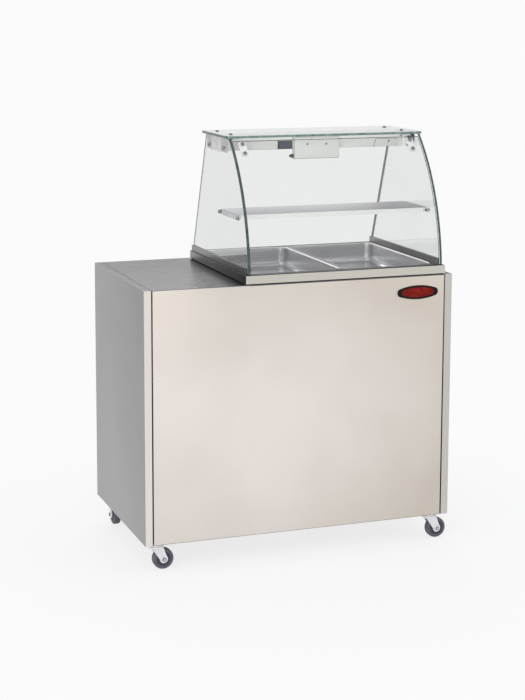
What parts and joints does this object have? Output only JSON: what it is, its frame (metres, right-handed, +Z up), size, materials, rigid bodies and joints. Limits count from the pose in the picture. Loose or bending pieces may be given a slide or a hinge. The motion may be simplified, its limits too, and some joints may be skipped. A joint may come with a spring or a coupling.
{
  "type": "display trolley",
  "caption": "Stainless food service trolley with a worktop, a curved glass heated display over two pans, a cupboard behind doors and swivel casters.",
  "frame": {"origin": "on the floor under the middle of the cabinet", "axes": "+X to the right as the customer sees it, +Y to the service side at the back, +Z up"},
  "size_m": [1.059, 0.602, 1.36],
  "materials": {
    "satin_steel": "satin stainless steel with fine vertical brushing",
    "side_steel": "satin stainless steel, greyer sheet",
    "worktop_steel": "brushed stainless steel worktop",
    "inner_steel": "mill-finish stainless steel inside the cabinet",
    "pan_steel": "polished stainless steel pans",
    "channel_steel": "darker satin steel channels",
    "case_glass": "clear toughened glass with green edges",
    "lamp_glass": "frosted lamp tube",
    "zinc": "bright zinc plate",
    "dark_metal": "dark oxidised steel",
    "black_plastic": "black moulded plastic",
    "rocker_blue": "dark blue gloss plastic",
    "rocker_red": "dark red gloss plastic",
    "lens_amber": "amber lens",
    "seal_rubber": "black rubber seal",
    "badge_enamel": "dark red enamel with a black rim",
    "ceramic": "white ceramic",
    "hub_grey": "grey nylon hub",
    "tyre_slate": "slate grey rubber tyre"
  },
  "bodies": {
    "trolley": {"side_panel_left": "side_steel", "side_panel_right": "side_steel", "front_panel": "satin_steel", "worktop": "worktop_steel", "cabinet_floor": "inner_steel", "control_fascia": "satin_steel", "plate_shelf": "inner_steel", "shelf_ledges": "inner_steel", "badge_plate": "badge_enamel", "door_pivots": "zinc", "control_housing": "inner_steel", "thermostat_body": "dark_metal", "indicator_lamp": "lens_amber", "power_inlet": "black_plastic", "switch_frames": "black_plastic", "well_tank": "inner_steel", "heating_elements": "dark_metal", "display_base": "satin_steel", "base_gasket": "seal_rubber", "glass_channels": "channel_steel", "side_glass_left": "case_glass", "side_glass_right": "case_glass", "top_glass": "case_glass", "glass_clips": "zinc", "glass_bolts": "zinc", "display_shelf": "satin_steel", "shelf_rails": "zinc", "gantry_rail": "satin_steel", "gantry_box": "satin_steel", "gantry_gusset": "side_steel", "gantry_screws": "dark_metal", "cable_gland": "black_plastic", "lamp_tube": "lamp_glass", "lamp_holders": "ceramic", "hinge_arms": "zinc", "caster_mounts": "zinc", "caster_nuts": "dark_metal"},
    "front_screen": {"front_glass": "case_glass", "hinge_clamps": "zinc"},
    "lamp_switch": {"gantry_rocker": "rocker_blue"},
    "mains_switch": {"power_switch": "rocker_red"},
    "thermostat": {"thermostat_knob": "black_plastic"},
    "left_pan": {"pan_left": "pan_steel"},
    "right_pan": {"pan_right": "pan_steel"},
    "left_door": {"door_left": "side_steel", "door_pull_left": "channel_steel"},
    "right_door": {"door_right": "side_steel", "door_pull_right": "channel_steel"},
    "caster_front_left": {"caster_fork_front_left": "zinc"},
    "wheel_front_left": {"caster_hub_front_left": "hub_grey", "caster_tyre_front_left": "tyre_slate"},
    "caster_front_right": {"caster_fork_front_right": "zinc"},
    "wheel_front_right": {"caster_hub_front_right": "hub_grey", "caster_tyre_front_right": "tyre_slate"},
    "caster_rear_left": {"caster_fork_rear_left": "zinc"},
    "wheel_rear_left": {"caster_hub_rear_left": "hub_grey", "caster_tyre_rear_left": "tyre_slate"},
    "caster_rear_right": {"caster_fork_rear_right": "zinc"},
    "wheel_rear_right": {"caster_hub_rear_right": "hub_grey", "caster_tyre_rear_right": "tyre_slate"}
  },
  "joints": [
    {"name": "front_glass_hinge", "type": "hinge", "parent": "trolley", "child": "front_screen", "pos_m": [0.154, -0.11187, 1.32189], "axis": [-1, 0, 0], "range_deg": [0, 70]},
    {"name": "lamp_rocker", "type": "hinge", "parent": "trolley", "child": "lamp_switch", "pos_m": [0.0535, 0.013, 1.312], "axis": [0, 0, -1], "range_deg": [0, 14]},
    {"name": "mains_rocker", "type": "hinge", "parent": "trolley", "child": "mains_switch", "pos_m": [-0.315, 0.273, 0.82], "axis": [-1, 0, 0], "range_deg": [0, 14]},
    {"name": "thermostat_turn", "type": "hinge", "parent": "trolley", "child": "thermostat", "pos_m": [-0.24, 0.284, 0.82], "axis": [0, -1, 0], "range_deg": [0, 270]},
    {"name": "left_pan_lift", "type": "slide", "parent": "trolley", "child": "left_pan", "axis": [0, 0, 1], "range_m": [0, 0.085]},
    {"name": "right_pan_lift", "type": "slide", "parent": "trolley", "child": "right_pan", "axis": [0, 0, 1], "range_m": [0, 0.085]},
    {"name": "left_door_hinge", "type": "hinge", "parent": "trolley", "child": "left_door", "pos_m": [-0.4885, 0.288, 0.42], "axis": [0, 0, 1], "range_deg": [0, 90]},
    {"name": "right_door_hinge", "type": "hinge", "parent": "trolley", "child": "right_door", "pos_m": [0.4885, 0.288, 0.42], "axis": [0, 0, -1], "range_deg": [0, 90]},
    {"name": "swivel_front_left", "type": "hinge", "parent": "trolley", "child": "caster_front_left", "pos_m": [-0.478, -0.258, 0.076], "axis": [0, 0, 1], "continuous": true},
    {"name": "spin_front_left", "type": "hinge", "parent": "caster_front_left", "child": "wheel_front_left", "pos_m": [-0.456, -0.258, 0.034], "axis": [0, 1, 0], "continuous": true},
    {"name": "swivel_front_right", "type": "hinge", "parent": "trolley", "child": "caster_front_right", "pos_m": [0.478, -0.258, 0.076], "axis": [0, 0, 1], "continuous": true},
    {"name": "spin_front_right", "type": "hinge", "parent": "caster_front_right", "child": "wheel_front_right", "pos_m": [0.5, -0.258, 0.034], "axis": [0, 1, 0], "continuous": true},
    {"name": "swivel_rear_left", "type": "hinge", "parent": "trolley", "child": "caster_rear_left", "pos_m": [-0.478, 0.258, 0.076], "axis": [0, 0, 1], "continuous": true},
    {"name": "spin_rear_left", "type": "hinge", "parent": "caster_rear_left", "child": "wheel_rear_left", "pos_m": [-0.478, 0.236, 0.034], "axis": [1, 0, 0], "continuous": true},
    {"name": "swivel_rear_right", "type": "hinge", "parent": "trolley", "child": "caster_rear_right", "pos_m": [0.478, 0.258, 0.076], "axis": [0, 0, 1], "continuous": true},
    {"name": "spin_rear_right", "type": "hinge", "parent": "caster_rear_right", "child": "wheel_rear_right", "pos_m": [0.478, 0.236, 0.034], "axis": [1, 0, 0], "continuous": true}
  ]
}
